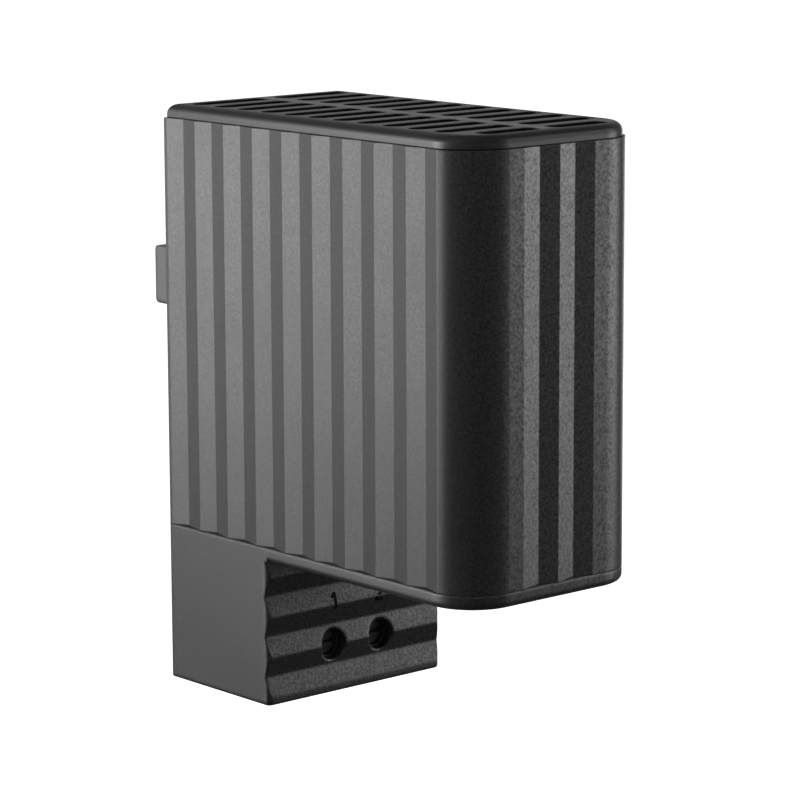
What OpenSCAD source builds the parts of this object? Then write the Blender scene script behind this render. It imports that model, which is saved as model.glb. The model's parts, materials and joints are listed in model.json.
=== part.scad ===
// Rail-mounted enclosure heater: ribbed touch-safe hood on a base with a terminal box.
// Frame in mm: rail centre on the back plane is the origin, front faces -Y, Z is up.

/* [Body] */
// Width across the ribbed sides
body_w = 38; // [36:1:46]
// Depth from the rail seat to the front
body_d = 75; // [72:1:90]
// Height over everything
body_h = 98; // [96:1:120]
// Radius of the two upright front corners
corner_r = 8.5; // [7:0.5:10]
// Wall of the moulded shells
wall = 2; // [1.8:0.1:2.3]

/* [Ribs] */
// Distance from ridge to ridge round the hood
rib_pitch = 7.5; // [6:0.25:9]
// Depth of the grooves between the ridges
rib_depth = 0.6; // [0.3:0.05:0.8]
// First ridge from the back plane
rib_start = 0.75; // [0.5:0.25:2]

/* [Top grille] */
// Height of the cap above its parting line
cap_h = 2.3; // [2:0.1:3]
// Step of the cap inside the ridges
cap_inset = 0.4; // [0.2:0.05:0.6]
// Rounding of the cap's upper edge
cap_edge_r = 1.6; // [1:0.1:1.9]
// Distance from slot to slot
slot_pitch = 6; // [5:0.25:7]
// Width of a slot
slot_w = 3.8; // [2.4:0.1:3.9]
// Width of the web between the two rows of slots
web_w = 2.2; // [1.8:0.2:5]
// First slot from the back plane
slot_start = 5; // [4.6:0.2:7]

/* [Base] */
// Depth of the terminal box
term_d = 26; // [25:0.5:30]
// Height of the terminal box under the hood
term_h = 24.4; // [24:0.2:28]
// Height of the plain lip that carries the hood
lip_h = 2.4; // [2.2:0.1:3.6]
// Rise of the slope on the lip that closes the lower ends of the hood's grooves
lip_rise = 0.3; // [0.2:0.05:0.5]
// Distance from ridge to ridge on the terminal box
term_rib_pitch = 6.8; // [6.8:0.1:7.6]
// Depth of the grooves on the terminal box
term_rib_depth = 0.85; // [0.5:0.05:1]
// First ridge above the bottom edge
term_rib_start = 1.4; // [1:0.1:2]
// Rounding of the terminal box's upright front edges
term_corner_r = 1; // [0.6:0.1:1.5]
// Rounding of the terminal box's bottom edge
term_edge_r = 0.5; // [0.3:0.1:0.6]
// Diameter of the screwdriver holes
access_d = 5.4; // [5:0.1:5.8]
// Rounding of the tray's lower edge
sill_r = 1; // [0.5:0.1:1.4]

/* [Rail mount] */
// Height of the rail that the heater clips on
rail_h = 35; // [34.8:0.1:35.2]
// Thickness of the rail's edges
rail_t = 1; // [0.9:0.1:1.2]
// How far hook and latch reach behind the rail's edge
hook_lap = 2.6; // [2:0.1:2.8]
// Height of a hook
hook_h = 9.8; // [8:0.2:12]
// How far a hook stands out of the back
hook_out = 5.6; // [4.6:0.1:6.2]
// Width of a hook
hook_w = 9; // [6:0.5:11]
// Width of the sliding latch
latch_w = 14; // [12:0.5:16]
// Thickness of the latch's plate
latch_t = 2.6; // [2.2:0.1:3]
// Travel of the latch
latch_travel = 3; // [2.8:0.1:3.4]

/* [Terminals] */
// Distance between the two terminals
term_pitch = 10.4; // [10:0.1:11]
// Offset of the pair from the middle
term_shift = 0.5; // [0:0.1:1]
// Width of a clamp cage
cage_w = 7.6; // [7:0.1:8]
// Height of a clamp cage
cage_h = 7; // [6.4:0.1:7.2]
// Diameter of the clamp screws
screw_d = 3.3; // [3:0.1:3.6]
// Diameter of the clamp screws' heads
head_d = 4.4; // [4.2:0.1:4.6]
// Travel of a clamp cage
cage_travel = 2.4; // [2:0.1:2.6]
// Room for the wire in an open clamp
wire_gap = 3.2; // [3:0.1:3.6]
// Diameter of the wire entries
entry_d = 3.6; // [3.2:0.1:4]

/* [Heater core] */
// Width of the heat sink over its fins
sink_w = 27; // [24:0.5:28]
// Depth of the heat sink
sink_d = 44; // [40:1:46]
// Number of fins on each side
fin_n = 10; // [7:1:12]
// Thickness of a fin
fin_t = 1.2; // [1:0.1:1.5]
// Thickness of the heating ceramics
tile_t = 2.1; // [1.8:0.1:2.6]
// Depth of the heating ceramics
tile_d = 24; // [20:1:26]
// Thickness of the contact plates
plate_t = 0.6; // [0.5:0.05:0.8]
// Thickness of the insulating films
film_t = 0.25; // [0.2:0.05:0.4]
// Wall of the channel that clamps the ceramics
channel_wall = 2.2; // [1.8:0.1:2.8]
// Diameter of the inner leads
lead_d = 2; // [1.8:0.1:2.2]

/* [Fits] */
// Gap between moulded pieces that fit into each other
fit_gap = 0.1; // [0.05:0.01:0.2]
// Gap round the latch and the clamp cages
slide_gap = 0.2; // [0.15:0.01:0.25]
// Radial gap of a turning screw
run_gap = 0.05; // [0.03:0.01:0.08]
// Play of the rail behind a hook
rail_gap = 0.3; // [0.2:0.05:0.4]

/* [Hidden] */
$fn = 48;
over = 1;
hw = body_w / 2;
z_top = body_h / 2;
z_bot = -body_h / 2;
z_cap = z_top - cap_h;
z_rim = z_bot + term_h;
z_sill = z_rim + lip_h;
floor_t = 2;
z_floor = z_rim + floor_t;

// Snap joints between the shells
skirt_h = 3;
skirt_t = 1.5;
snap_r = 0.5;
snap_l = 9;
snap_y = [-0.26 * body_d, -0.7 * body_d];

// Rail hooks and latch
rail_edge = rail_h / 2;
rail_back = rail_t + rail_gap;
hook_x = hw - 2 - hook_w / 2;
hook_round = 0.8;
seat_relief = 0.5;
latch_lip = 5;
latch_top = -rail_edge + hook_lap - 0.1;
latch_seat = -rail_edge - rail_gap;
latch_shoulder = latch_seat - 3.2;
latch_end = z_bot + 0.5;
latch_tab = 3.4;
guide_top = latch_shoulder - latch_travel - 0.8;
guide_end = latch_end + latch_tab + 0.8;
guide_t = 2.2;
guide_lap = 1.2;
guide_lip = 1.4;
plate_back = slide_gap + latch_t;
stop_z = latch_end + 9;
stop_h = 3;
stop_w = 4.6;
spring_h = 9.4;
spring_r = 1.7;
spring_wire = 0.28;
spring_turns = 6;
spring_y = spring_r + spring_wire + 0.3;
window_z0 = stop_z - 0.1;
window_z1 = stop_z + stop_h + spring_h;

// Terminal positions, front to back
screw_z = z_bot + term_rib_start + term_rib_pitch;
term_x = [term_shift - term_pitch / 2, term_shift + term_pitch / 2];
block_x = hw - wall - fit_gap;
block_y0 = -term_d + wall + fit_gap;
block_y1 = -wall - fit_gap;
block_z0 = z_bot + 0.5;
block_top = screw_z + 10.8;
block_wall = 1.6;
head_l = 2.1;
head_y = block_y0 + 0.9;
pocket_y0 = head_y + head_l + 0.3;
cage_front = 2;
cage_back = 1.3;
cage_side = 1.1;
cage_y0 = pocket_y0 + cage_travel + 0.3;
bar_t = 1.2;
bar_y0 = cage_y0 + cage_front + 0.3;
bar_y1 = bar_y0 + bar_t;
bar_w = cage_w - 2 * cage_side - 0.4;
cage_y1 = bar_y1 + wire_gap + cage_back;
pocket_y1 = cage_y1 + 0.3;
pocket_z = screw_z - cage_h / 2 - slide_gap;
wire_y = bar_y1 + wire_gap / 2;
mouth_h = 1.5;
shoulder_w = term_pitch - 1.6;
shoulder_z = screw_z + cage_h / 2 + 0.7;
shoulder_h = 5;
tab_w = 2.4;
bar_top = shoulder_z + shoulder_h + 4.5;
bar_y = bar_y0 + bar_t / 2;

// Heater core
core_y = -body_d / 2 - 0.5;
sink_z = z_floor + 14;
support_t = 2.5;
support_rim = 3;
support_bar = 3;
upstand_h = 3;
sink_top = z_cap - skirt_h - 4 - support_t;
sink_h = sink_top - sink_z;
channel_d = tile_d + 2;
sandwich = tile_t + 2 * plate_t + 2 * film_t;
channel_w = sandwich + 2 * channel_wall;
spine_w = 3;
tile_n = 2;
tile_gap = 2;
core_margin = 3;
tile_h = (sink_h - 2 * core_margin - (tile_n - 1) * tile_gap) / tile_n;
tab_y = [core_y - 6, core_y + 6];
tab_end = sink_z - 5;
plate_x = tile_t / 2 + plate_t / 2;

// Leads
crimp_r = 1.65;
crimp_h = 4.4;
crimp_in = 2;
lead_z = z_floor + lead_d / 2 + 1.6;
bend_r = 3;
window_w = 5;

// Triangle wave: 0 on a ridge, depth in a valley
function wave(h, start, pitch, depth) =
    let (u = (h - start) / pitch, f = u - floor(u)) depth * (1 - abs(2 * f - 1));

side_n = ceil((body_d - corner_r - rib_start) / rib_pitch);
front_n = 2 * floor((hw - corner_r) / rib_pitch);

// Zigzag of one side from back to front, and of the front from left to right
side_steps = [for (i = [0:2 * side_n]) rib_start + i * rib_pitch / 2];
front_steps = [for (i = [0:2 * front_n]) (i - front_n) * rib_pitch / 2];
function side_in(i) = i % 2 == 0 ? 0 : rib_depth;

// What the two rounded front corners take away from a square outline
module corner_waste(w, d, r) {
    for (m = [0, 1])
        mirror([m, 0])
            translate([w / 2 - r, -d + r])
                difference() {
                    translate([0, -r - over])
                        square(r + over);
                    circle(r);
                }
}

// Plan outline with rounded front corners, from y = 0 to y = -d
module plan(w, d, r) {
    difference() {
        translate([-w / 2, -d])
            square([w, d]);
        corner_waste(w, d, r);
    }
}

// Outline of the space inside the walls, drawn in by a gap
module inner_plan(g) {
    inset = wall + g;
    translate([0, -inset])
        plan(body_w - 2 * inset, body_d - 2 * inset, corner_r - inset);
}

// Outline of the hood with its vertical ribs
module rib_plan() {
    points = concat(
        [[-hw, 0]],
        [for (i = [0:2 * side_n]) [-hw + side_in(i), -side_steps[i]]],
        [[-hw, -body_d]],
        [for (i = [0:2 * front_n]) [front_steps[i], -body_d + side_in(i)]],
        [[hw, -body_d]],
        [for (i = [2 * side_n:-1:0]) [hw - side_in(i), -side_steps[i]]],
        [[hw, 0]]
    );
    difference() {
        polygon(points);
        corner_waste(body_w, body_d, corner_r);
    }
}

// What an edge rounding takes away, with the circle's centre at the origin
module edge_waste(r) {
    difference() {
        square(r + over);
        circle(r);
    }
}

// Rounding of the upper rim of a plan outline, from the front to y_end on both sides
module rim_waste(w, d, rc, r, y_end) {
    run = d - rc + y_end;
    for (m = [0, 1])
        mirror([m, 0, 0]) {
            translate([w / 2 - r, y_end, -r])
                rotate([90, 0, 0])
                    linear_extrude(run)
                        edge_waste(r);
            translate([w / 2 - rc, -d + rc, -r])
                rotate([0, 0, -90])
                    rotate_extrude(angle = 90)
                        translate([rc - r, 0])
                            edge_waste(r);
        }
    translate([w / 2 - rc, -d + r, -r])
        rotate([0, 0, -90])
            rotate([90, 0, 0])
                linear_extrude(w - 2 * rc)
                    edge_waste(r);
}

// Rounding of a straight upper rim at the back
module back_rim_waste(w, r) {
    translate([-w / 2 - over, -r, -r])
        rotate([0, 0, 90])
            rotate([90, 0, 0])
                linear_extrude(w + 2 * over)
                    edge_waste(r);
}

// Slot with round ends along X
module slot(x0, x1, w, h) {
    translate([x0 + w / 2, -w / 2, 0])
        cube([x1 - x0 - w, w, h]);
    for (x = [x0 + w / 2, x1 - w / 2])
        translate([x, 0, 0])
            cylinder(d = w, h = h);
}

// Two rows of slots between two depths
module slot_rows(y_from, y_to, z, h) {
    n = floor((y_to - slot_start) / slot_pitch);
    reach = hw - cap_inset - cap_edge_r - 0.6;
    for (i = [0:n]) {
        y = slot_start + i * slot_pitch;
        near_front = y > body_d - corner_r;
        if (y >= y_from)
            for (m = [0, 1])
                mirror([m, 0, 0])
                    translate([0, -y, z])
                        slot(web_w / 2, near_front ? reach - 3 : reach, slot_w, h);
    }
}

// Rounded bars of the snap joints on the two side walls
module snap_bars(x, z, r) {
    for (s = [-1, 1])
        for (y = snap_y)
            translate([s * x, y - snap_l / 2, z])
                rotate([-90, 0, 0])
                    cylinder(r = r, h = snap_l);
}

// Round bar swept along a path, with one side vector per point
module sweep(path, side, r, n) {
    last = len(path) - 1;
    function tangent(i) =
        let (d = path[min(i + 1, last)] - path[max(i - 1, 0)]) d / norm(d);
    points = [
        for (i = [0:last])
            let (t = tangent(i), a = side[i] - t * (side[i] * t), u = a / norm(a), v = cross(t, u))
                for (k = [0:n - 1])
                    path[i] + r * (u * cos(360 * k / n) + v * sin(360 * k / n))
    ];
    walls = [
        for (i = [0:last - 1])
            for (k = [0:n - 1])
                let (a = i * n + k, b = i * n + (k + 1) % n)
                    [a, a + n, b + n, b]
    ];
    start = [for (k = [0:n - 1]) k];
    end = [for (k = [n - 1:-1:0]) last * n + k];
    polyhedron(points = points, faces = concat([start], walls, [end]));
}

// Ribbed hood that stands on the base and carries the fixed rail hooks
module hood() {
    color("#2a2a2c")
        difference() {
            union() {
                translate([0, 0, z_sill])
                    linear_extrude(z_cap - z_sill)
                        rib_plan();
                for (s = [-1, 1])
                    translate([s * hook_x - hook_w / 2, 0, 0])
                        rail_hook();
            }
            translate([0, 0, z_sill - over])
                linear_extrude(z_cap - z_sill + 2 * over)
                    inner_plan(0);
            snap_bars(hw - wall - fit_gap, z_cap - skirt_h / 2, snap_r + fit_gap);
            snap_bars(hw - wall - fit_gap, z_sill + skirt_h / 2, snap_r + fit_gap);
            seat_reliefs();
            lip_wedges();
        }
}

// Slope on top of the base's lip that closes the lower ends of the grooves
module lip_wedges() {
    step = rib_depth + fit_gap;
    outline = [[0, -lip_h / 2], [0, 0], [-step, lip_rise], [-step, -lip_h / 2]];
    for (m = [0, 1])
        mirror([m, 0, 0])
            translate([hw, 0, z_sill])
                rotate([90, 0, 0])
                    linear_extrude(body_d - corner_r)
                        polygon(outline);
    translate([hw - corner_r, -body_d, z_sill])
        rotate([90, 0, -90])
            linear_extrude(body_w - 2 * corner_r)
                polygon(outline);
}

// Shallow hollows in the back, behind the hooks' lips and the latch, that keep the rail's seat free
module seat_reliefs() {
    latch_x = latch_w / 2 + rail_gap;
    hook_z = rail_edge - hook_lap - rail_gap;
    for (s = [-1, 1])
        translate([s * hook_x - hook_w / 2 - rail_gap, -seat_relief, hook_z])
            cube([hook_w + 2 * rail_gap, seat_relief + rail_back / 2, hook_lap + 2 * rail_gap]);
    translate([-latch_x, -seat_relief, z_sill - over])
        cube([2 * latch_x, seat_relief + over, latch_top + rail_gap - z_sill + over]);
}

// Hook over the rail's upper edge, drawn from the side
module rail_hook() {
    notch_z = rail_edge + rail_gap;
    lip_z = rail_edge - hook_lap;
    rotate([90, 0, 90])
        linear_extrude(hook_w)
            difference() {
                polygon([
                    [-wall / 2, notch_z],
                    [rail_back, notch_z],
                    [rail_back, lip_z],
                    [hook_out, lip_z],
                    [hook_out, lip_z + hook_h],
                    [-wall / 2, lip_z + hook_h]
                ]);
                translate([hook_out - hook_round, lip_z + hook_h - hook_round])
                    edge_waste(hook_round);
                translate([hook_out - hook_round, lip_z + hook_round])
                    mirror([0, 1])
                        edge_waste(hook_round);
            }
}

// Cap with two rows of outlet slots, a skirt inside the hood and four hold-down legs
module top_grille() {
    cap_w = body_w - 2 * cap_inset;
    cap_d = body_d - 2 * cap_inset;
    leg_l = 8;
    color("#252527")
        difference() {
            union() {
                translate([0, -cap_inset, z_cap])
                    linear_extrude(cap_h)
                        plan(cap_w, cap_d, corner_r - cap_inset);
                translate([0, 0, z_cap - skirt_h])
                    linear_extrude(skirt_h)
                        difference() {
                            inner_plan(fit_gap);
                            inner_plan(fit_gap + skirt_t);
                        }
                for (s = [-1, 1])
                    for (y = snap_y)
                        translate([s * (block_x - skirt_t / 2), y, sink_top + support_t])
                            translate([-skirt_t / 2, -leg_l / 2, 0])
                                cube([skirt_t, leg_l, z_cap - sink_top - support_t]);
                snap_bars(hw - wall - fit_gap, z_cap - skirt_h / 2, snap_r);
            }
            translate([0, -cap_inset, z_top]) {
                rim_waste(cap_w, cap_d, corner_r - cap_inset, cap_edge_r, 0);
                back_rim_waste(cap_w, cap_edge_r);
            }
            slot_rows(0, body_d - cap_inset - cap_edge_r - slot_w / 2, z_cap - over, cap_h + 2 * over);
        }
}

// Side view of the terminal box with its horizontal ribs, upright below the first ridge
function box_groove(h) = h < term_rib_start ? 0 : wave(h, term_rib_start, term_rib_pitch, term_rib_depth);
function box_front(h) = box_groove(h) - term_d;
box_n = floor((term_h - term_rib_start) / (term_rib_pitch / 2));
box_steps = concat(
    [0],
    [for (i = [0:box_n]) term_rib_start + i * term_rib_pitch / 2],
    [term_h]
);

// Tray under the hood with the air inlet, in one piece with the terminal box
module base() {
    color("#2c2c2e") {
        support_posts();
        difference() {
            union() {
                translate([0, 0, z_rim])
                    linear_extrude(lip_h)
                        plan(body_w, body_d, corner_r);
                lip_wedges();
                translate([0, 0, z_floor])
                    linear_extrude(z_sill + skirt_h - z_floor)
                        inner_plan(fit_gap);
                translate([-hw, 0, z_bot])
                    rotate([90, 0, 90])
                        linear_extrude(body_w)
                            polygon(concat(
                                [[0, 0]],
                                [for (h = box_steps) [box_front(h), h]],
                                [[0, term_h]]
                            ));
                snap_bars(hw - wall - fit_gap, z_sill + skirt_h / 2, snap_r);
                for (m = [0, 1])
                    mirror([m, 0, 0])
                        latch_guide();
                translate([-stop_w / 2, -wall / 2, stop_z])
                    cube([stop_w, wall / 2 + spring_y + spring_r + spring_wire, stop_h]);
            }
            translate([0, 0, z_floor])
                linear_extrude(lip_h + skirt_h + over)
                    inner_plan(fit_gap + skirt_t);
            translate([-hw + wall, -term_d + wall, z_bot - over])
                cube([body_w - 2 * wall, term_d - 2 * wall, term_h + over]);
            for (x = term_x) {
                translate([x - window_w / 2, bar_y - window_w / 2, z_rim - over])
                    cube([window_w, window_w, floor_t + 2 * over]);
                translate([x, -term_d - over, screw_z])
                    rotate([-90, 0, 0])
                        cylinder(d = access_d, h = wall + 2 * over);
            }
            slot_rows(term_d + 3, body_d - wall - slot_w, z_rim - over, floor_t + 2 * over);
            translate([0, 0, z_rim])
                mirror([0, 0, 1])
                    rim_waste(body_w, body_d, corner_r, sill_r, -term_d);
            translate([0, 0, z_bot - over])
                linear_extrude(term_h + over)
                    corner_waste(body_w, term_d, term_corner_r);
            translate([0, 0, z_bot])
                mirror([0, 0, 1])
                    rim_waste(body_w, term_d, term_corner_r, term_edge_r, 0);
            block_snaps(snap_r + fit_gap);
        }
    }
}

// Posts that carry the lower support of the heater core
module support_posts() {
    for (s = [-1, 1])
        for (y = snap_y)
            translate([s * (block_x - support_rim / 2) - 1, y - 2, z_rim + over])
                cube([2, 4, sink_z - support_t - z_rim - over]);
}

// Guide with a lip over one edge of the latch
module latch_guide() {
    x0 = latch_w / 2 + slide_gap;
    lip_y = plate_back + slide_gap;
    translate([0, 0, guide_end])
        linear_extrude(guide_top - guide_end)
            polygon([
                [x0, -wall / 2],
                [x0 + guide_t, -wall / 2],
                [x0 + guide_t, lip_y + guide_lip],
                [x0 - slide_gap - guide_lap, lip_y + guide_lip],
                [x0 - slide_gap - guide_lap, lip_y],
                [x0, lip_y]
            ]);
}

// Latch that snaps behind the rail's lower edge
module din_latch() {
    color("#3a3a3c")
        difference() {
            translate([-latch_w / 2, 0, 0])
                rotate([90, 0, 90])
                    linear_extrude(latch_w)
                        polygon([
                            [slide_gap, latch_end],
                            [latch_lip, latch_end],
                            [latch_lip, latch_end + latch_tab - 1],
                            [plate_back, latch_end + latch_tab],
                            [plate_back, latch_shoulder],
                            [latch_lip, latch_shoulder],
                            [latch_lip, latch_top - 2],
                            [latch_lip - 1.8, latch_top],
                            [rail_back, latch_top],
                            [rail_back, latch_seat],
                            [slide_gap, latch_seat]
                        ]);
            translate([-stop_w / 2 - slide_gap, -over, window_z0])
                cube([stop_w + 2 * slide_gap, latch_lip + 2 * over, window_z1 - window_z0]);
            translate([-2.5, -over, latch_end + 1])
                cube([5, latch_lip + 2 * over, 1.4]);
        }
}

// Pressure spring between the stop on the base and the latch
module latch_spring() {
    steps = spring_turns * 14;
    pitch = (spring_h - 2 * spring_wire) / steps;
    path = [
        for (i = [0:steps])
            let (a = i * 360 / 14)
                [spring_r * cos(a), spring_y + spring_r * sin(a), stop_z + stop_h + spring_wire + i * pitch]
    ];
    side = [for (i = [0:steps]) let (a = i * 360 / 14) [cos(a), sin(a), 0]];
    color("#b8b8b4")
        sweep(path, side, spring_wire, 8);
}

// Rounded bars that hold the terminal block in its box
module block_snaps(r) {
    for (s = [-1, 1])
        translate([s * block_x, (block_y0 + block_y1) / 2 - 6, pocket_z])
            rotate([-90, 0, 0])
                cylinder(r = r, h = 12);
}

// Insert that closes the terminal box from below and carries both clamps
module terminal_block() {
    depth = block_y1 - block_y0;
    well = block_z0 + 2;
    left = term_x[0] - cage_w / 2 - slide_gap;
    right = term_x[1] + cage_w / 2 + slide_gap;
    side_top = z_rim - fit_gap;
    tall = block_top - block_z0;
    color("#3b3b3d")
        difference() {
            union() {
                translate([-block_x, block_y0, block_z0])
                    cube([2 * block_x, depth, block_top - block_z0]);
                for (x = [-block_x, block_x - block_wall])
                    translate([x, block_y0, block_z0])
                        cube([block_wall, depth, side_top - block_z0]);
                block_snaps(snap_r);
            }
            for (x = term_x) {
                translate([x - cage_w / 2 - slide_gap, pocket_y0, pocket_z])
                    cube([cage_w + 2 * slide_gap, pocket_y1 - pocket_y0, tall]);
                translate([x - shoulder_w / 2 - fit_gap, bar_y0 - fit_gap, shoulder_z - fit_gap])
                    cube([shoulder_w + 2 * fit_gap, bar_t + 2 * fit_gap, tall]);
                translate([x, block_y0 - over, screw_z])
                    rotate([-90, 0, 0])
                        cylinder(d = head_d + 2 * run_gap, h = pocket_y0 - block_y0 + 2 * over);
                translate([x, wire_y, block_z0])
                    rotate_extrude()
                        polygon([
                            [0, -over],
                            [entry_d / 2 + 1, -over],
                            [entry_d / 2 + 1, 0],
                            [entry_d / 2, mouth_h],
                            [entry_d / 2, pocket_z - block_z0 + over],
                            [0, pocket_z - block_z0 + over]
                        ]);
            }
            translate([-block_x + block_wall, block_y0 + block_wall, well])
                cube([left - block_wall + block_x - block_wall, depth - 2 * block_wall, tall]);
            translate([right + block_wall, block_y0 + block_wall, well])
                cube([block_x - 2 * block_wall - right, depth - 2 * block_wall, tall]);
            translate([left, pocket_y1 + block_wall, well])
                cube([right - left, block_y1 - pocket_y1 - 2 * block_wall, tall]);
        }
}

// Rising cage that draws the wire against the contact bar
module clamp_cage(x) {
    length = cage_y1 - cage_y0;
    color("#b9b6ae")
        translate([x, 0, screw_z])
            difference() {
                translate([-cage_w / 2, cage_y0, -cage_h / 2])
                    cube([cage_w, length, cage_h]);
                translate([-cage_w / 2 + cage_side, cage_y0 + cage_front, -cage_h / 2 - over])
                    cube([cage_w - 2 * cage_side, length - cage_front - cage_back, cage_h + 2 * over]);
                translate([0, cage_y0 - over, 0])
                    rotate([-90, 0, 0])
                        cylinder(d = screw_d + 2 * run_gap, h = cage_front + 2 * over);
            }
}

// Slotted clamp screw, its head towards the screwdriver hole
module clamp_screw(x) {
    color("#c4c2bb")
        translate([x, head_y, screw_z])
            rotate([-90, 0, 0])
                difference() {
                    union() {
                        cylinder(d = head_d, h = head_l);
                        cylinder(d = screw_d, h = bar_y0 - run_gap - head_y);
                    }
                    translate([-head_d / 2 - over, -0.4, -over])
                        cube([head_d + 2 * over, 0.8, over + 1]);
                }
}

// Contact bar through a cage, held by its shoulders in the block
module contact_bar(x) {
    color("#c79a4a")
        translate([x, bar_y0, 0]) {
            translate([-bar_w / 2, 0, pocket_z + fit_gap])
                cube([bar_w, bar_t, shoulder_z - pocket_z]);
            translate([-shoulder_w / 2, 0, shoulder_z])
                cube([shoulder_w, bar_t, shoulder_h]);
            translate([-tab_w / 2, 0, shoulder_z + shoulder_h - over])
                cube([tab_w, bar_t, bar_top - shoulder_z - shoulder_h + over]);
        }
}

// Extruded profile: channel for the ceramics, spine and fins
module heat_sink() {
    fin_step = (sink_d - fin_t) / (fin_n - 1);
    color("#c9cbce")
        translate([0, core_y, sink_z])
            linear_extrude(sink_h)
                difference() {
                    union() {
                        square([channel_w, channel_d + 2 * channel_wall], center = true);
                        square([spine_w, sink_d - fin_t], center = true);
                        for (i = [0:fin_n - 1])
                            translate([0, -sink_d / 2 + fin_t / 2 + i * fin_step])
                                square([sink_w, fin_t], center = true);
                    }
                    square([sandwich, channel_d], center = true);
                }
}

// Frame across the hood that seats one end of the heat sink, upstands towards +Z
module core_support() {
    span = 2 * (block_x - support_rim) + over;
    linear_extrude(support_t) {
        difference() {
            inner_plan(fit_gap);
            inner_plan(fit_gap + support_rim);
        }
        for (s = [-1, 1]) {
            translate([-span / 2, core_y + s * sink_d / 4 - support_bar / 2])
                square([span, support_bar]);
            translate([-span / 2, core_y + s * (sink_d / 2 + fit_gap + support_bar / 2) - support_bar / 2])
                square([span, support_bar]);
        }
    }
    for (s = [-1, 1])
        for (e = [-1, 1]) {
            translate([
                s * (sink_w / 2 + fit_gap + 0.6) - 0.6,
                core_y + e * sink_d / 4 - support_bar / 2,
                0
            ])
                cube([1.2, support_bar, support_t + upstand_h]);
            translate([
                s * sink_w / 4 - 2,
                core_y + e * (sink_d / 2 + fit_gap + 0.75) - 0.75,
                0
            ])
                cube([4, 1.5, support_t + upstand_h]);
        }
}

module lower_support() {
    color("#d9d2c0")
        translate([0, 0, sink_z - support_t])
            core_support();
}

module upper_support() {
    color("#d9d2c0")
        translate([0, 0, sink_top + support_t])
            mirror([0, 0, 1])
                core_support();
}

// Heating ceramics one above the other between the contact plates
module heating_ceramics() {
    color("#8d8a86")
        for (i = [0:tile_n - 1])
            translate([-tile_t / 2, core_y - tile_d / 2, sink_z + core_margin + i * (tile_h + tile_gap)])
                cube([tile_t, tile_d, tile_h]);
}

// Contact plate with a tab that hangs below the heat sink
module contact_plate(s, y) {
    color("#d0d0cc")
        translate([s * plate_x - plate_t / 2, 0, 0]) {
            translate([0, core_y - tile_d / 2, sink_z + core_margin / 2])
                cube([plate_t, tile_d, sink_h - core_margin]);
            translate([0, y - tab_w / 2, tab_end])
                cube([plate_t, tab_w, sink_z + core_margin - tab_end]);
        }
}

// Film between a contact plate and the wall of the channel
module insulating_film(s) {
    x = s * (sandwich / 2 - film_t / 2) - film_t / 2;
    color("#c98a2c")
        translate([x, core_y - channel_d / 2 + fit_gap, sink_z + 0.5])
            cube([film_t, channel_d - 2 * fit_gap, sink_h - 1]);
}

// Points of a lead in its own upright plane, with rounded bends
function lead_path(a, b) =
    let (
        flat = norm([b[0] - a[0], b[1] - a[1]]),
        dir = [b[0] - a[0], b[1] - a[1], 0] / flat,
        start = [a[0], a[1], lead_z],
        bend = [for (i = [0:6]) i * 15]
    )
    concat(
        [a],
        [for (t = bend) start + dir * bend_r * (1 - cos(t)) + [0, 0, bend_r * (1 - sin(t))]],
        [for (t = bend) start + dir * (flat - bend_r * (1 - sin(t))) - [0, 0, bend_r * (1 - cos(t))]],
        [b]
    );

module lead(a, b) {
    path = lead_path(a, b);
    side = [for (p = path) cross(b - a, [0, 0, 1])];
    color("#a8321f")
        sweep(path, side, lead_d / 2, 12);
}

plate_crimp_z = tab_end - crimp_h + crimp_in;
bar_crimp_z = bar_top - crimp_in;
lead_in = crimp_h - crimp_in - 0.2;
lead_a0 = [-plate_x, tab_y[0], plate_crimp_z + lead_in];
lead_a1 = [term_x[0], bar_y, bar_crimp_z + crimp_h - lead_in];
lead_b0 = [plate_x, tab_y[1], plate_crimp_z + lead_in];
lead_b1 = [term_x[1], bar_y, bar_crimp_z + crimp_h - lead_in];

// Crimp sleeve: the tab enters from below, the lead from above
module crimp(tab) {
    difference() {
        cylinder(r = crimp_r, h = crimp_h);
        translate([-tab[0] / 2, -tab[1] / 2, -over])
            cube([tab[0], tab[1], crimp_in + over]);
        translate([0, 0, crimp_h - lead_in])
            cylinder(d = lead_d + 2 * run_gap, h = lead_in + over);
    }
}

module lead_crimps() {
    color("#cfcfcb") {
        for (i = [0, 1])
            translate([(2 * i - 1) * plate_x, tab_y[i], plate_crimp_z + crimp_h])
                mirror([0, 0, 1])
                    crimp([plate_t, tab_w]);
        for (x = term_x)
            translate([x, bar_y, bar_crimp_z])
                crimp([tab_w, bar_t]);
    }
}

hood();
top_grille();
base();
din_latch();
latch_spring();
terminal_block();
clamp_cage(term_x[0]);  // clamp_cage_1
clamp_cage(term_x[1]);  // clamp_cage_2
clamp_screw(term_x[0]);  // clamp_screw_1
clamp_screw(term_x[1]);  // clamp_screw_2
contact_bar(term_x[0]);  // contact_bar_1
contact_bar(term_x[1]);  // contact_bar_2
heat_sink();
lower_support();
upper_support();
heating_ceramics();
contact_plate(-1, tab_y[0]);  // contact_plate_a
contact_plate(1, tab_y[1]);  // contact_plate_b
insulating_film(-1);  // insulating_film_a
insulating_film(1);  // insulating_film_b
lead(lead_a0, lead_a1);  // lead_a
lead(lead_b0, lead_b1);  // lead_b
lead_crimps();
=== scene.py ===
import json
import math

import bmesh
import bpy
from mathutils import Matrix, Vector

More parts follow.
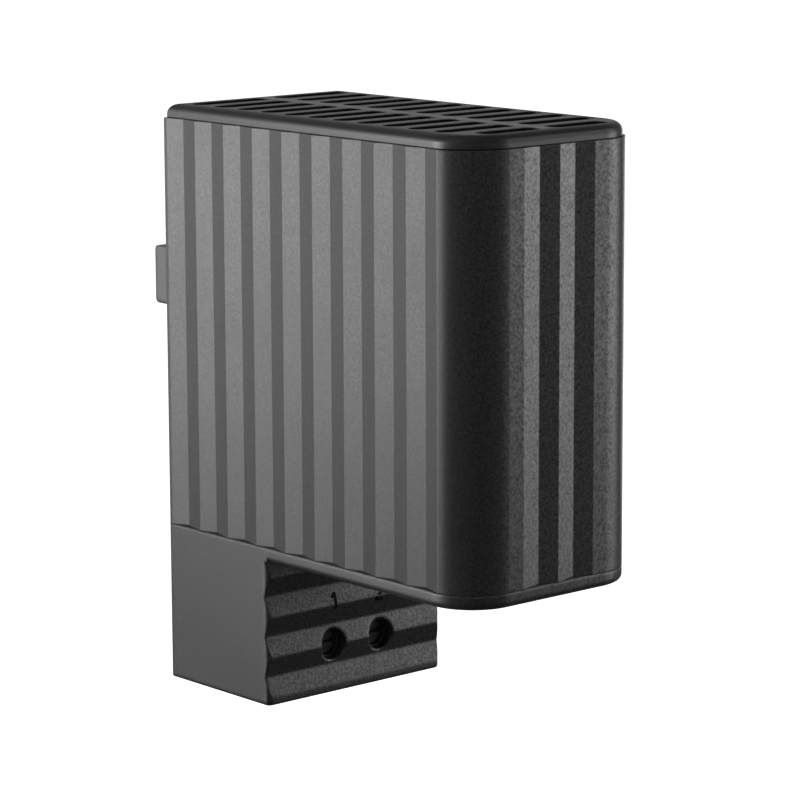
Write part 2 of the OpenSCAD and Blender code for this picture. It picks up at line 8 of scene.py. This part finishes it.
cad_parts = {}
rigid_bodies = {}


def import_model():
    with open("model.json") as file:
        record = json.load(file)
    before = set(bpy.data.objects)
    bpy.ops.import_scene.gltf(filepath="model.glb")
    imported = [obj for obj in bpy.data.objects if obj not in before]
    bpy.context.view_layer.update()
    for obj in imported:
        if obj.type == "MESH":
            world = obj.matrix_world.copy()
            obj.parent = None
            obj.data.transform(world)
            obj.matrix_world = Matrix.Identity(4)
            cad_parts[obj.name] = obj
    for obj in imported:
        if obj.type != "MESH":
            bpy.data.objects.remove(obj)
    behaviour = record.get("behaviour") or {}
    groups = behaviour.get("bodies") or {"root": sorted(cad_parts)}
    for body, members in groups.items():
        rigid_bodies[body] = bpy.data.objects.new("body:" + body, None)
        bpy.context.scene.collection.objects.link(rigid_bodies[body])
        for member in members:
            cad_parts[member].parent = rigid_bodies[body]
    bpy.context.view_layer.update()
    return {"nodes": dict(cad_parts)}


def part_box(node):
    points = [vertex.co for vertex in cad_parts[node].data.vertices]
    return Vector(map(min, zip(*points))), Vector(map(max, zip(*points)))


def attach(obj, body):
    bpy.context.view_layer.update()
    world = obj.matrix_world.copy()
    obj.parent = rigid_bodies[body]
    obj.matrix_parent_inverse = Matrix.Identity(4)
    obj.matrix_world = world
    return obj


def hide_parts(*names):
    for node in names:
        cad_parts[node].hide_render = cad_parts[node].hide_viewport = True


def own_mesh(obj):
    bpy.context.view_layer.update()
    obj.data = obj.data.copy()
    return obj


for thing in list(bpy.data.objects):
    bpy.data.objects.remove(thing)

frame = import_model()
nodes = frame["nodes"]
MM = 0.001
UM = 0.000001


# Helpers for shader nodes


def add(tree, kind, sockets=None, **settings):
    """A node with its settings, and a constant or a link on each named or numbered socket."""
    made = tree.nodes.new(kind)
    for name, value in settings.items():
        setattr(made, name, value)
    for name, value in (sockets or {}).items():
        if isinstance(value, bpy.types.NodeSocket):
            tree.links.new(value, made.inputs[name])
        else:
            made.inputs[name].default_value = value
    return made


def grey(value, tint=(1, 1, 1)):
    return (value * tint[0], value * tint[1], value * tint[2], 1)


def maths(tree, operation, *values):
    return add(tree, "ShaderNodeMath", dict(enumerate(values)), operation=operation).outputs[0]


def times(tree, one, two):
    return maths(tree, "MULTIPLY", one, two)


def parts(tree, vector):
    """A vector's parts by the names X, Y and Z."""
    return add(tree, "ShaderNodeSeparateXYZ", {0: vector}).outputs


def noise(tree, place, scale, detail, rough, stretch=None):
    """Grey noise with a feature size of one metre over scale."""
    if stretch:
        place = add(tree, "ShaderNodeMapping", {"Vector": place, "Scale": stretch}).outputs["Vector"]
    sockets = {"Vector": place, "Scale": scale, "Detail": detail, "Roughness": rough}
    return add(tree, "ShaderNodeTexNoise", sockets).outputs["Fac"]


def spread(tree, value, low, high, from_low=0.3, from_high=0.7):
    """A range, a noise's useful one unless another is given, moved to low..high."""
    sockets = {"Value": value, "From Min": from_low, "From Max": from_high, "To Min": low, "To Max": high}
    return add(tree, "ShaderNodeMapRange", sockets).outputs["Result"]


def blended(tree, mask, low, high):
    """Low where the mask is 0, high where it is 1."""
    return spread(tree, mask, low, high, 0.0, 1.0)


def inside(tree, value, low, high, soft):
    """White between low and high, with soft ends."""
    rise = spread(tree, value, 0.0, 1.0, low, low + soft)
    fall = spread(tree, value, 1.0, 0.0, high - soft, high)
    return times(tree, rise, fall)


def ramp(tree, value, start, first, end, last):
    """From the first colour where the value is at its start to the last at its end."""
    made = add(tree, "ShaderNodeValToRGB", {"Fac": value})
    for element, at, colour in zip(made.color_ramp.elements, (start, end), (first, last)):
        element.position = at
        element.color = colour
    return made.outputs["Color"]


def painted(tree, mask, under, over):
    """One colour, and another over it where the mask is white."""
    return add(tree, "ShaderNodeMix", {"Factor": mask, 6: under, 7: over}, data_type="RGBA").outputs[2]


def rounded(tree, radius):
    """A normal that makes edges look round."""
    return add(tree, "ShaderNodeBevel", {"Radius": radius}, samples=6).outputs["Normal"]


def bumped(tree, height, depth, **sockets):
    """A normal bent by a height map of this depth in metres."""
    sockets = {"Height": height, "Distance": depth, "Strength": 1.0, **sockets}
    return add(tree, "ShaderNodeBump", sockets).outputs["Normal"]


def new_material(name):
    """An empty material, its nodes and the object's own coordinates in it."""
    material = bpy.data.materials.new(name)
    material.use_nodes = True
    tree = material.node_tree
    tree.nodes.clear()
    place = add(tree, "ShaderNodeTexCoord").outputs["Object"]
    return material, tree, place


def principled(tree, sockets):
    """Ends a material with one principled shader."""
    shader = add(tree, "ShaderNodeBsdfPrincipled", sockets).outputs["BSDF"]
    add(tree, "ShaderNodeOutputMaterial", {"Surface": shader})


# Moulded plastic

SPECK = 0.42 * MM
CLOUD_SCALE = 60
SPECK_GLOSS = 0.02
CLOUD_GLOSS = 0.015
POLISHED_EDGE = 1.0 * MM
POLISHED_ROUGHNESS = 0.36
PALE_HOOK_SHADE = 0.09
POLISHED_GRAIN = 0.1
HOOK_START = 0.2 * MM
HOOK_END = 0.6 * MM


def mould_grain(tree, place, size_mm):
    """The fine, even roughness that a spark-eroded mould leaves."""
    return noise(tree, place, 1 / (size_mm * MM), detail=1.5, rough=0.6)


def facing_front(tree):
    """White on faces that look to the front or back, black on the sides."""
    normal = add(tree, "ShaderNodeTexCoord").outputs["Normal"]
    return spread(tree, maths(tree, "ABSOLUTE", parts(tree, normal)["Y"]), 0.0, 1.0)


def rail_side(tree, place):
    """White on the hooks, which stand behind the back's plane."""
    return spread(tree, parts(tree, place)["Y"], 0.0, 1.0, HOOK_START, HOOK_END)


def moulded_plastic(
    name, dark, light, rough, grain_mm, grain_um, edge_mm, tint=(1, 1, 1),
    side_shine=(0.43, 0.57), front_shine=(0.25, 0.75), even_shine=None, polish=None,
):
    """Glass-filled moulding with a spark-eroded skin: fine bump, specks of gloss, rounded edges.

    The shines are the lowest and highest specular level on faces to the side and to the front,
    and an even shine takes the place of both. Where the polish mask is white, the skin is smooth,
    the edges are rounder and the colour is paler.
    """
    material, tree, place = new_material(name)
    grain = mould_grain(tree, place, grain_mm)
    specks = noise(tree, place, 1 / SPECK, detail=1.0, rough=0.5)
    cloud = noise(tree, place, CLOUD_SCALE, detail=3.0, rough=0.55)
    colour = ramp(tree, specks, 0.3, grey(dark, tint), 0.7, grey(light, tint))
    gloss = maths(
        tree, "ADD",
        spread(tree, specks, rough + SPECK_GLOSS, rough - SPECK_GLOSS),
        spread(tree, cloud, -CLOUD_GLOSS, CLOUD_GLOSS),
    )
    radius = edge_mm * MM
    strength = 1.0
    if polish:
        mask = polish(tree, place)
        # Where the mask is white, the colour is paler than the rest of the moulding.
        colour = painted(tree, mask, colour, grey(PALE_HOOK_SHADE))
        gloss = blended(tree, mask, gloss, POLISHED_ROUGHNESS)
        radius = blended(tree, mask, radius, POLISHED_EDGE)
        strength = blended(tree, mask, strength, POLISHED_GRAIN)
    shine = even_shine or blended(
        tree, facing_front(tree), spread(tree, specks, *side_shine), spread(tree, specks, *front_shine),
    )
    skin = bumped(tree, grain, grain_um * UM, Strength=strength, Normal=rounded(tree, radius))
    principled(
        tree, {"Base Color": colour, "Roughness": gloss, "Specular IOR Level": shine, "Normal": skin},
    )
    return material


# Plastic of the slotted cap

RIM = 2.2 * MM
CORNER_CUT = 2.0 * MM
SOFT = 0.2 * MM
SLOT_EDGE = 0.12 * MM
SPINE = 1.2 * MM
PARTING = 0.22 * MM
ROUNDING_START = 0.6 * MM
ROUNDING_END = 1.1 * MM
BAR_SHEEN_SHADE = 0.09
SPINE_HIGHLIGHT_SHADE = 0.16
WALL_PAINTED_SHADE = 0.002
PARTING_SHADOW_SHADE = 0.004
CAP_SPECKS = 0.6
LEAST_BAR_SHEEN = 0.55
CAP_GLOSS = 0.04
CAP_SHINE = 0.5
CAP_FRONT_SHINE = 0.42
ROUNDING_SHINE = 0.15
PARTING_SHADOW_SHINE = 0.1


def slot_field(tree, part):
    """White on the part of the cap that holds the slots, inside its rim and its cut corners."""
    low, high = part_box("top_grille")
    across = inside(tree, part["X"], low.x + RIM, high.x - RIM, SOFT)
    along = inside(tree, part["Y"], low.y + RIM, high.y - RIM, SOFT)
    ahead = maths(tree, "SUBTRACT", maths(tree, "ABSOLUTE", part["X"]), part["Y"])
    reach = high.x - low.y - 2 * RIM - CORNER_CUT
    corners = spread(tree, ahead, 1.0, 0.0, reach - SOFT, reach)
    return times(tree, times(tree, across, along), corners)


def cap_shine(tree, part, seam, parting_shadow):
    """Specular level of the cap, which is dull along the painted shadow at the parting line and on the
    front's rounding.
    """
    front = facing_front(tree)
    rounding = spread(tree, part["Z"], 0.0, 1.0, seam + ROUNDING_START, seam + ROUNDING_END)
    shine = blended(tree, front, CAP_SHINE, CAP_FRONT_SHINE)
    shine = blended(tree, times(tree, front, rounding), shine, ROUNDING_SHINE)
    return blended(tree, parting_shadow, shine, PARTING_SHADOW_SHINE)


def grille_plastic(name, dark, light, rough, grain_mm, grain_um, edge_mm):
    """The cap's moulding, with painted shade on the dull black slot walls, and bars painted a little paler
    than the rim as a painted sheen, palest on the spine as a painted highlight.

    The parting line above the hood is a painted shadow gap, and the rounding of the front edge is dull.
    """
    material, tree, place = new_material(name)
    part = parts(tree, place)
    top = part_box("top_grille")[1].z
    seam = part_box("hood")[1].z
    field = slot_field(tree, part)
    grain = mould_grain(tree, place, grain_mm)
    specks = noise(tree, place, CAP_SPECKS / (grain_mm * MM), detail=3.0, rough=0.65)
    # Painted sheen: the bars of the slot field are painted paler than the rim, in random patches.
    bar_sheen = times(tree, field, spread(tree, specks, LEAST_BAR_SHEEN, 1.0))
    # Painted highlight: the spine between the two rows of slots is painted paler still.
    spine_highlight = times(tree, field, inside(tree, part["X"], -SPINE, SPINE, SOFT))
    # Painted shade: the slot walls below the top are painted near black and made fully rough.
    painted_wall_shade = times(tree, field, spread(tree, part["Z"], 1.0, 0.0, top - SLOT_EDGE, top - SLOT_EDGE / 2))
    # Painted shadow: a dark, dull band along the parting line above the hood.
    parting_shadow = inside(tree, part["Z"], seam - SOFT, seam + PARTING, SOFT / 2)
    colour = ramp(tree, specks, 0.3, grey(dark), 0.7, grey(light))
    for mask, shade in (
        (bar_sheen, BAR_SHEEN_SHADE), (spine_highlight, SPINE_HIGHLIGHT_SHADE), (painted_wall_shade, WALL_PAINTED_SHADE), (parting_shadow, PARTING_SHADOW_SHADE),
    ):
        colour = painted(tree, mask, colour, grey(shade))
    principled(tree, {
        "Base Color": colour,
        "Roughness": blended(tree, painted_wall_shade, spread(tree, specks, rough - CAP_GLOSS, rough + CAP_GLOSS), 1.0),
        "Specular IOR Level": cap_shine(tree, part, seam, parting_shadow),
        "Normal": bumped(tree, grain, grain_um * UM, Normal=rounded(tree, edge_mm * MM)),
    })
    return material


# Metals, ceramic, film and rubber

THREAD_PITCH = 0.7 * MM
SCREW_HEAD = 2.4 * MM
STREAK_SCALE = 1400
STREAK_DEPTH = 3 * UM
TARNISH_SCALE = 260
TARNISH_SHADE = 0.78


def screw_thread(tree, place, node):
    """Height of a thread around the node's own axis along Y, and none on its head."""
    low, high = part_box(node)
    sockets = {0: place, 1: (low + high) / 2}
    from_axis = add(tree, "ShaderNodeVectorMath", sockets, operation="SUBTRACT").outputs["Vector"]
    part = parts(tree, from_axis)
    turn = maths(tree, "ARCTAN2", part["Z"], part["X"])
    along = times(tree, part["Y"], 1 / THREAD_PITCH)
    turns = maths(tree, "MULTIPLY_ADD", turn, 1 / (2 * math.pi), along)
    ridge = maths(tree, "PINGPONG", turns, 0.5)
    shank = SCREW_HEAD - (high.y - low.y) / 2
    return times(tree, ridge, spread(tree, part["Y"], 0.0, 1.0, shank, shank + SOFT))


def drawn_metal(name, colour, rough, streak, screw=None):
    """Metal with fine lines along one direction and a cloudy gloss, with a thread on a screw's node."""
    material, tree, place = new_material(name)
    lines = noise(tree, place, STREAK_SCALE, detail=3.0, rough=0.6, stretch=streak)
    tarnish = noise(tree, place, TARNISH_SCALE, detail=3.0, rough=0.6)
    skin = bumped(tree, lines, STREAK_DEPTH)
    if screw:
        skin = bumped(tree, screw_thread(tree, place, screw), THREAD_PITCH, Normal=skin)
    principled(tree, {
        "Base Color": ramp(tree, tarnish, 0.25, grey(TARNISH_SHADE, colour), 0.75, grey(1.0, colour)),
        "Metallic": 1.0,
        "Roughness": spread(tree, lines, rough - 0.08, rough + 0.1),
        "Normal": skin,
    })
    return material


def coated(name, dark, light, rough, scale, bump_um):
    """Ceramic, film and rubber: speckled colour, gloss and a light bump."""
    material, tree, place = new_material(name)
    specks = noise(tree, place, scale, detail=3.0, rough=0.6)
    principled(tree, {
        "Base Color": ramp(tree, specks, 0.35, (*dark, 1), 0.65, (*light, 1)),
        "Roughness": spread(tree, specks, rough - 0.05, rough + 0.05),
        "Normal": bumped(tree, specks, bump_um * UM),
    })
    return material


# Materials and the nodes that have them

PLATING = {"colour": (0.2, 0.2, 0.2), "rough": 0.42, "streak": (1, 0.15, 1)}

shell = moulded_plastic(
    "hood_moulding", dark=0.015, light=0.021, rough=0.34, grain_mm=0.12, grain_um=17, edge_mm=0.25,
    side_shine=(0.46, 0.54), front_shine=(0.27, 0.73), polish=rail_side,
)
base_shell = moulded_plastic(
    "base_moulding", dark=0.014, light=0.019, rough=0.34, grain_mm=0.12, grain_um=16, edge_mm=0.7,
    side_shine=(0.6, 0.66), front_shine=(0.25, 0.65),
)
cap_shell = grille_plastic(
    "cap_moulding", dark=0.013, light=0.020, rough=0.34, grain_mm=0.3, grain_um=10, edge_mm=0.25,
)
inner_black = moulded_plastic(
    "terminal_moulding", dark=0.012, light=0.018, rough=0.5, grain_mm=0.2, grain_um=12, edge_mm=0.2,
)
latch_black = moulded_plastic(
    "latch_moulding", dark=0.02, light=0.026, rough=0.42, grain_mm=0.2, grain_um=20, edge_mm=0.25,
)
natural = moulded_plastic(
    "support_moulding", dark=0.55, light=0.68, rough=0.5, grain_mm=0.5, grain_um=10, edge_mm=0.2,
    tint=(1.0, 0.93, 0.8),
)
figures = moulded_plastic(
    "figure_ink", dark=0.002, light=0.004, rough=0.7, grain_mm=0.12, grain_um=3, edge_mm=0.05,
    even_shine=0.08,
)
wire_steel = drawn_metal("spring_wire", colour=(0.62, 0.62, 0.61), rough=0.32, streak=(1, 1, 0.1))
plated = drawn_metal("dark_plating", **PLATING)
tinned = drawn_metal("tinned_brass", colour=(0.74, 0.62, 0.36), rough=0.38, streak=(1, 1, 0.12))
milled = drawn_metal("extruded_aluminium", colour=(0.8, 0.81, 0.82), rough=0.36, streak=(1, 1, 0.06))
sheet_metal = drawn_metal("contact_sheet", colour=(0.76, 0.76, 0.74), rough=0.3, streak=(1, 0.12, 1))
fired = coated(
    "fired_ceramic", dark=(0.1, 0.1, 0.1), light=(0.17, 0.165, 0.16), rough=0.55, scale=1800, bump_um=8,
)
amber = coated(
    "amber_film", dark=(0.36, 0.15, 0.02), light=(0.46, 0.2, 0.03), rough=0.22, scale=700, bump_um=2,
)
silicone = coated(
    "red_silicone", dark=(0.24, 0.02, 0.015), light=(0.32, 0.03, 0.02), rough=0.55, scale=1500, bump_um=5,
)

LOOKS = {
    "hood": shell, "base": base_shell, "top_grille": cap_shell,
    "din_latch": latch_black, "latch_spring": wire_steel, "terminal_block": inner_black,
    "clamp_cage_1": plated, "clamp_cage_2": plated,
    "contact_bar_1": tinned, "contact_bar_2": tinned,
    "heat_sink": milled, "lower_support": natural, "upper_support": natural,
    "heating_ceramics": fired, "contact_plate_a": sheet_metal, "contact_plate_b": sheet_metal,
    "insulating_film_a": amber, "insulating_film_b": amber,
    "lead_a": silicone, "lead_b": silicone, "lead_crimps": plated,
}
for screw in ("clamp_screw_1", "clamp_screw_2"):
    LOOKS[screw] = drawn_metal(screw + "_plating", screw=screw, **PLATING)
for name, look in LOOKS.items():
    nodes[name].data.materials.clear()
    nodes[name].data.materials.append(look)


# Pieces modelled here: the latch's spring and the terminal numbers

WIRE = 0.28 * MM
TURNS = 6
STEPS = 40
SIDES = 12
INK = 0.06 * MM
INK_GAP = 0.02 * MM
FOOT_MM = -34.75
STROKE_MM = 0.6
STEP_MM = 0.15
IN_FRONT_MM = -60
UP = Vector((0, 0, 1))
BACKWARDS = Vector((0, 1, 0))


def new_piece(name, shape, material):
    """A fixed piece from a bmesh."""
    mesh = bpy.data.meshes.new(name)
    shape.to_mesh(mesh)
    shape.free()
    mesh.materials.append(material)
    piece = bpy.data.objects.new(name, mesh)
    bpy.context.scene.collection.objects.link(piece)
    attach(piece, "body")
    return piece


def coil_height(turn, height):
    """Height of the wire's middle: one closed turn at each end, and an even pitch between."""
    closed = 2 * WIRE
    pitch = (height - 2 * WIRE - 2 * closed) / (TURNS - 2)
    first = min(turn, 1)
    last = max(turn - TURNS + 1, 0)
    return WIRE + closed * (first + last) + pitch * (turn - first - last)


def make_spring():
    """Wound pressure spring with closed ends."""
    low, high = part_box("latch_spring")
    height = high.z - low.z
    foot = Vector(((low.x + high.x) / 2, (low.y + high.y) / 2, low.z))
    radius = (high.x - low.x) / 2 - WIRE
    shape = bmesh.new()
    rings = []
    for i in range(TURNS * STEPS + 1):
        angle = 2 * math.pi * i / STEPS
        out = Vector((math.cos(angle), math.sin(angle), 0))
        centre = foot + radius * out + coil_height(i / STEPS, height) * UP
        rings.append([
            shape.verts.new(centre + WIRE * (math.cos(side) * out + math.sin(side) * UP))
            for side in (2 * math.pi * k / SIDES for k in range(SIDES))
        ])
    for one, two in zip(rings, rings[1:]):
        for k in range(SIDES):
            face = shape.faces.new((one[k], one[k - 1], two[k - 1], two[k]))
            face.smooth = True
    shape.faces.new(rings[0])
    shape.faces.new(rings[-1][::-1])
    bmesh.ops.recalc_face_normals(shape, faces=shape.faces)
    spring = new_piece("latch_spring_coil", shape, wire_steel)
    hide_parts("latch_spring")
    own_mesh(spring)


def figure_lines(text):
    """Centre lines of a terminal number, in millimetres above its foot."""
    if text == "1":
        return [[(-0.75, 2.0), (0.0, 2.7)], [(0.0, 2.8), (0.0, 0.0)]]
    turns = [math.radians(angle) for angle in range(170, -41, -15)]
    bow = [(0.75 * math.cos(turn), 2.0 + 0.75 * math.sin(turn)) for turn in turns]
    return [[*bow, (-0.8, 0.2)], [(-0.9, 0.2), (0.85, 0.2)]]


def in_steps(corners):
    """A line through the corners, cut into short steps so that it bends with the ribs."""
    points = [Vector(corners[0])]
    for corner in corners[1:]:
        start, end = points[-1], Vector(corner)
        count = math.ceil((end - start).length / STEP_MM)
        points += [start.lerp(end, k / count) for k in range(1, count + 1)]
    return points


def on_ribs(x, z):
    """The point just in front of the terminal box's ribs, at a place given in millimetres."""
    start = Vector((x, IN_FRONT_MM, z)) * MM
    hit = nodes["base"].ray_cast(start, BACKWARDS)[1]
    return hit - INK_GAP * BACKWARDS


def make_figure(text, x):
    """A terminal number at x millimetres: flat strokes that lie on the ribs of the terminal box."""
    shape = bmesh.new()
    for line in figure_lines(text):
        points = in_steps(line)
        ends = []
        for i, point in enumerate(points):
            run = points[min(i + 1, len(points) - 1)] - points[max(i - 1, 0)]
            side = Vector((-run.y, run.x)).normalized() * STROKE_MM / 2
            for edge in (point - side, point + side):
                ends.append(shape.verts.new(on_ribs(x + edge.x, FOOT_MM + edge.y)))
        for i in range(0, len(ends) - 2, 2):
            shape.faces.new((ends[i], ends[i + 1], ends[i + 3], ends[i + 2]))
    bmesh.ops.recalc_face_normals(shape, faces=shape.faces)
    bmesh.ops.solidify(shape, geom=shape.faces[:], thickness=INK)
    new_piece("terminal_number_" + text, shape, figures)


make_spring()
make_figure("1", x=-4.3)
make_figure("2", x=5.3)


# Stage: floor, world, lamps and camera

YAW = 0.718827
PITCH = 0.182364
ROLL = -0.003828
CAMERA_PLACE = Vector((-358.636, -447.369, 102.240)) * MM
FOCAL_PIXELS = 3384.715
FRAME_PIXELS = 800
SENSOR = 36
BACK = Vector((0.658, 0.753, 0))
MIDDLE = Vector((0, -0.035, 0.02))
FLOOR_Z = -0.26
FLOOR_SIZE = 12
FLOOR_GLOW = 0.95
ROOM_NEAR = 0.52
ROOM_FAR = 0.08
WHITE = (1, 1, 1, 1)


def along_back(tree, vector, start, end, most):
    """0 on the camera's side to the most on the far side, along the photograph's line of sight."""
    depth = add(tree, "ShaderNodeVectorMath", {0: vector, 1: BACK}, operation="DOT_PRODUCT")
    sockets = {"Value": depth.outputs["Value"], "From Min": start, "From Max": end, "To Max": most}
    return add(tree, "ShaderNodeMapRange", sockets, interpolation_type="SMOOTHSTEP").outputs["Result"]


def seen_directly(tree, mask):
    """Camera rays, and glossy and transmitted ones where the mask is white."""
    path = add(tree, "ShaderNodeLightPath").outputs
    mirrored = maths(tree, "MAXIMUM", path["Is Glossy Ray"], path["Is Transmission Ray"])
    return maths(tree, "MAXIMUM", path["Is Camera Ray"], times(tree, mirrored, mask))


def make_world():
    """A room that is lighter on the camera's side, and white where it is seen."""
    world = bpy.data.worlds.new("studio")
    bpy.context.scene.world = world
    world.use_nodes = True
    tree = world.node_tree
    tree.nodes.clear()
    way = add(tree, "ShaderNodeTexCoord").outputs["Generated"]
    far = along_back(tree, way, start=-0.6, end=0.3, most=1.0)
    level = blended(tree, far, ROOM_NEAR, ROOM_FAR)
    room = add(tree, "ShaderNodeBackground", {"Color": WHITE, "Strength": level})
    white = add(tree, "ShaderNodeBackground", {"Color": WHITE, "Strength": 1.0})
    seen = seen_directly(tree, along_back(tree, way, start=0.1, end=0.8, most=0.22))
    mixed = add(tree, "ShaderNodeMixShader", {0: seen, 1: room.outputs[0], 2: white.outputs[0]})
    add(tree, "ShaderNodeOutputWorld", {"Surface": mixed.outputs[0]})


def make_floor():
    """Pale paper that keeps the shadow, and gives the object little light from below."""
    mesh = bpy.data.meshes.new("floor")
    shape = bmesh.new()
    bmesh.ops.create_grid(shape, x_segments=1, y_segments=1, size=FLOOR_SIZE)
    shape.to_mesh(mesh)
    shape.free()
    floor = bpy.data.objects.new("floor", mesh)
    floor.location.z = FLOOR_Z
    bpy.context.scene.collection.objects.link(floor)
    material, tree, place = new_material("pale_floor")
    cloud = noise(tree, place, scale=3, detail=2.0, rough=0.5)
    dim = add(tree, "ShaderNodeBsdfDiffuse", {"Color": ramp(tree, cloud, 0, grey(0.1), 1, grey(0.11))})
    pale = add(tree, "ShaderNodeBsdfDiffuse", {"Color": ramp(tree, cloud, 0, grey(0.8), 1, grey(0.82))})
    glow = add(tree, "ShaderNodeEmission", {"Color": WHITE, "Strength": FLOOR_GLOW})
    bright = add(tree, "ShaderNodeAddShader", {0: pale.outputs[0], 1: glow.outputs[0]})
    seen = seen_directly(tree, along_back(tree, place, start=0.0, end=0.5, most=0.06))
    mixed = add(tree, "ShaderNodeMixShader", {0: seen, 1: dim.outputs[0], 2: bright.outputs[0]})
    add(tree, "ShaderNodeOutputMaterial", {"Surface": mixed.outputs[0]})
    mesh.materials.append(material)


def softbox(name, place, width, height, radiance):
    """Area lamp of an even brightness, given by what a mirror would show, that faces the object."""
    data = bpy.data.lights.new(name, "AREA")
    data.shape = "RECTANGLE"
    data.size = width
    data.size_y = height
    data.energy = radiance * math.pi * width * height
    lamp = bpy.data.objects.new(name, data)
    lamp.location = place
    lamp.rotation_euler = (MIDDLE - Vector(place)).to_track_quat("-Z", "Y").to_euler()
    bpy.context.scene.collection.objects.link(lamp)


def make_camera():
    """The photograph's own view."""
    data = bpy.data.cameras.new("camera")
    data.sensor_width = SENSOR
    data.lens = SENSOR * FOCAL_PIXELS / FRAME_PIXELS
    data.clip_start = 0.02
    data.clip_end = 60
    camera = bpy.data.objects.new("camera", data)
    bpy.context.scene.collection.objects.link(camera)
    camera.matrix_world = (
        Matrix.Translation(CAMERA_PLACE)
        @ Matrix.Rotation(-YAW, 4, "Z")
        @ Matrix.Rotation(math.pi / 2 - PITCH, 4, "X")
        @ Matrix.Rotation(ROLL, 4, "Z")
    )
    bpy.context.scene.camera = camera


make_world()
make_floor()
softbox("left_softbox", place=(-0.765, 0.475, 0.076), width=0.366, height=0.55, radiance=9.9)
softbox("back_left_softbox", place=(-0.36, 0.76, 0.113), width=0.54, height=0.64, radiance=1.25)
softbox("right_softbox", place=(0.929, -0.624, 0.2), width=0.55, height=0.965, radiance=4.3)
softbox("back_right_softbox", place=(0.8, 0.43, -0.06), width=0.36, height=0.3, radiance=2.0)
make_camera()
bpy.context.scene.view_settings.view_transform = "Standard"
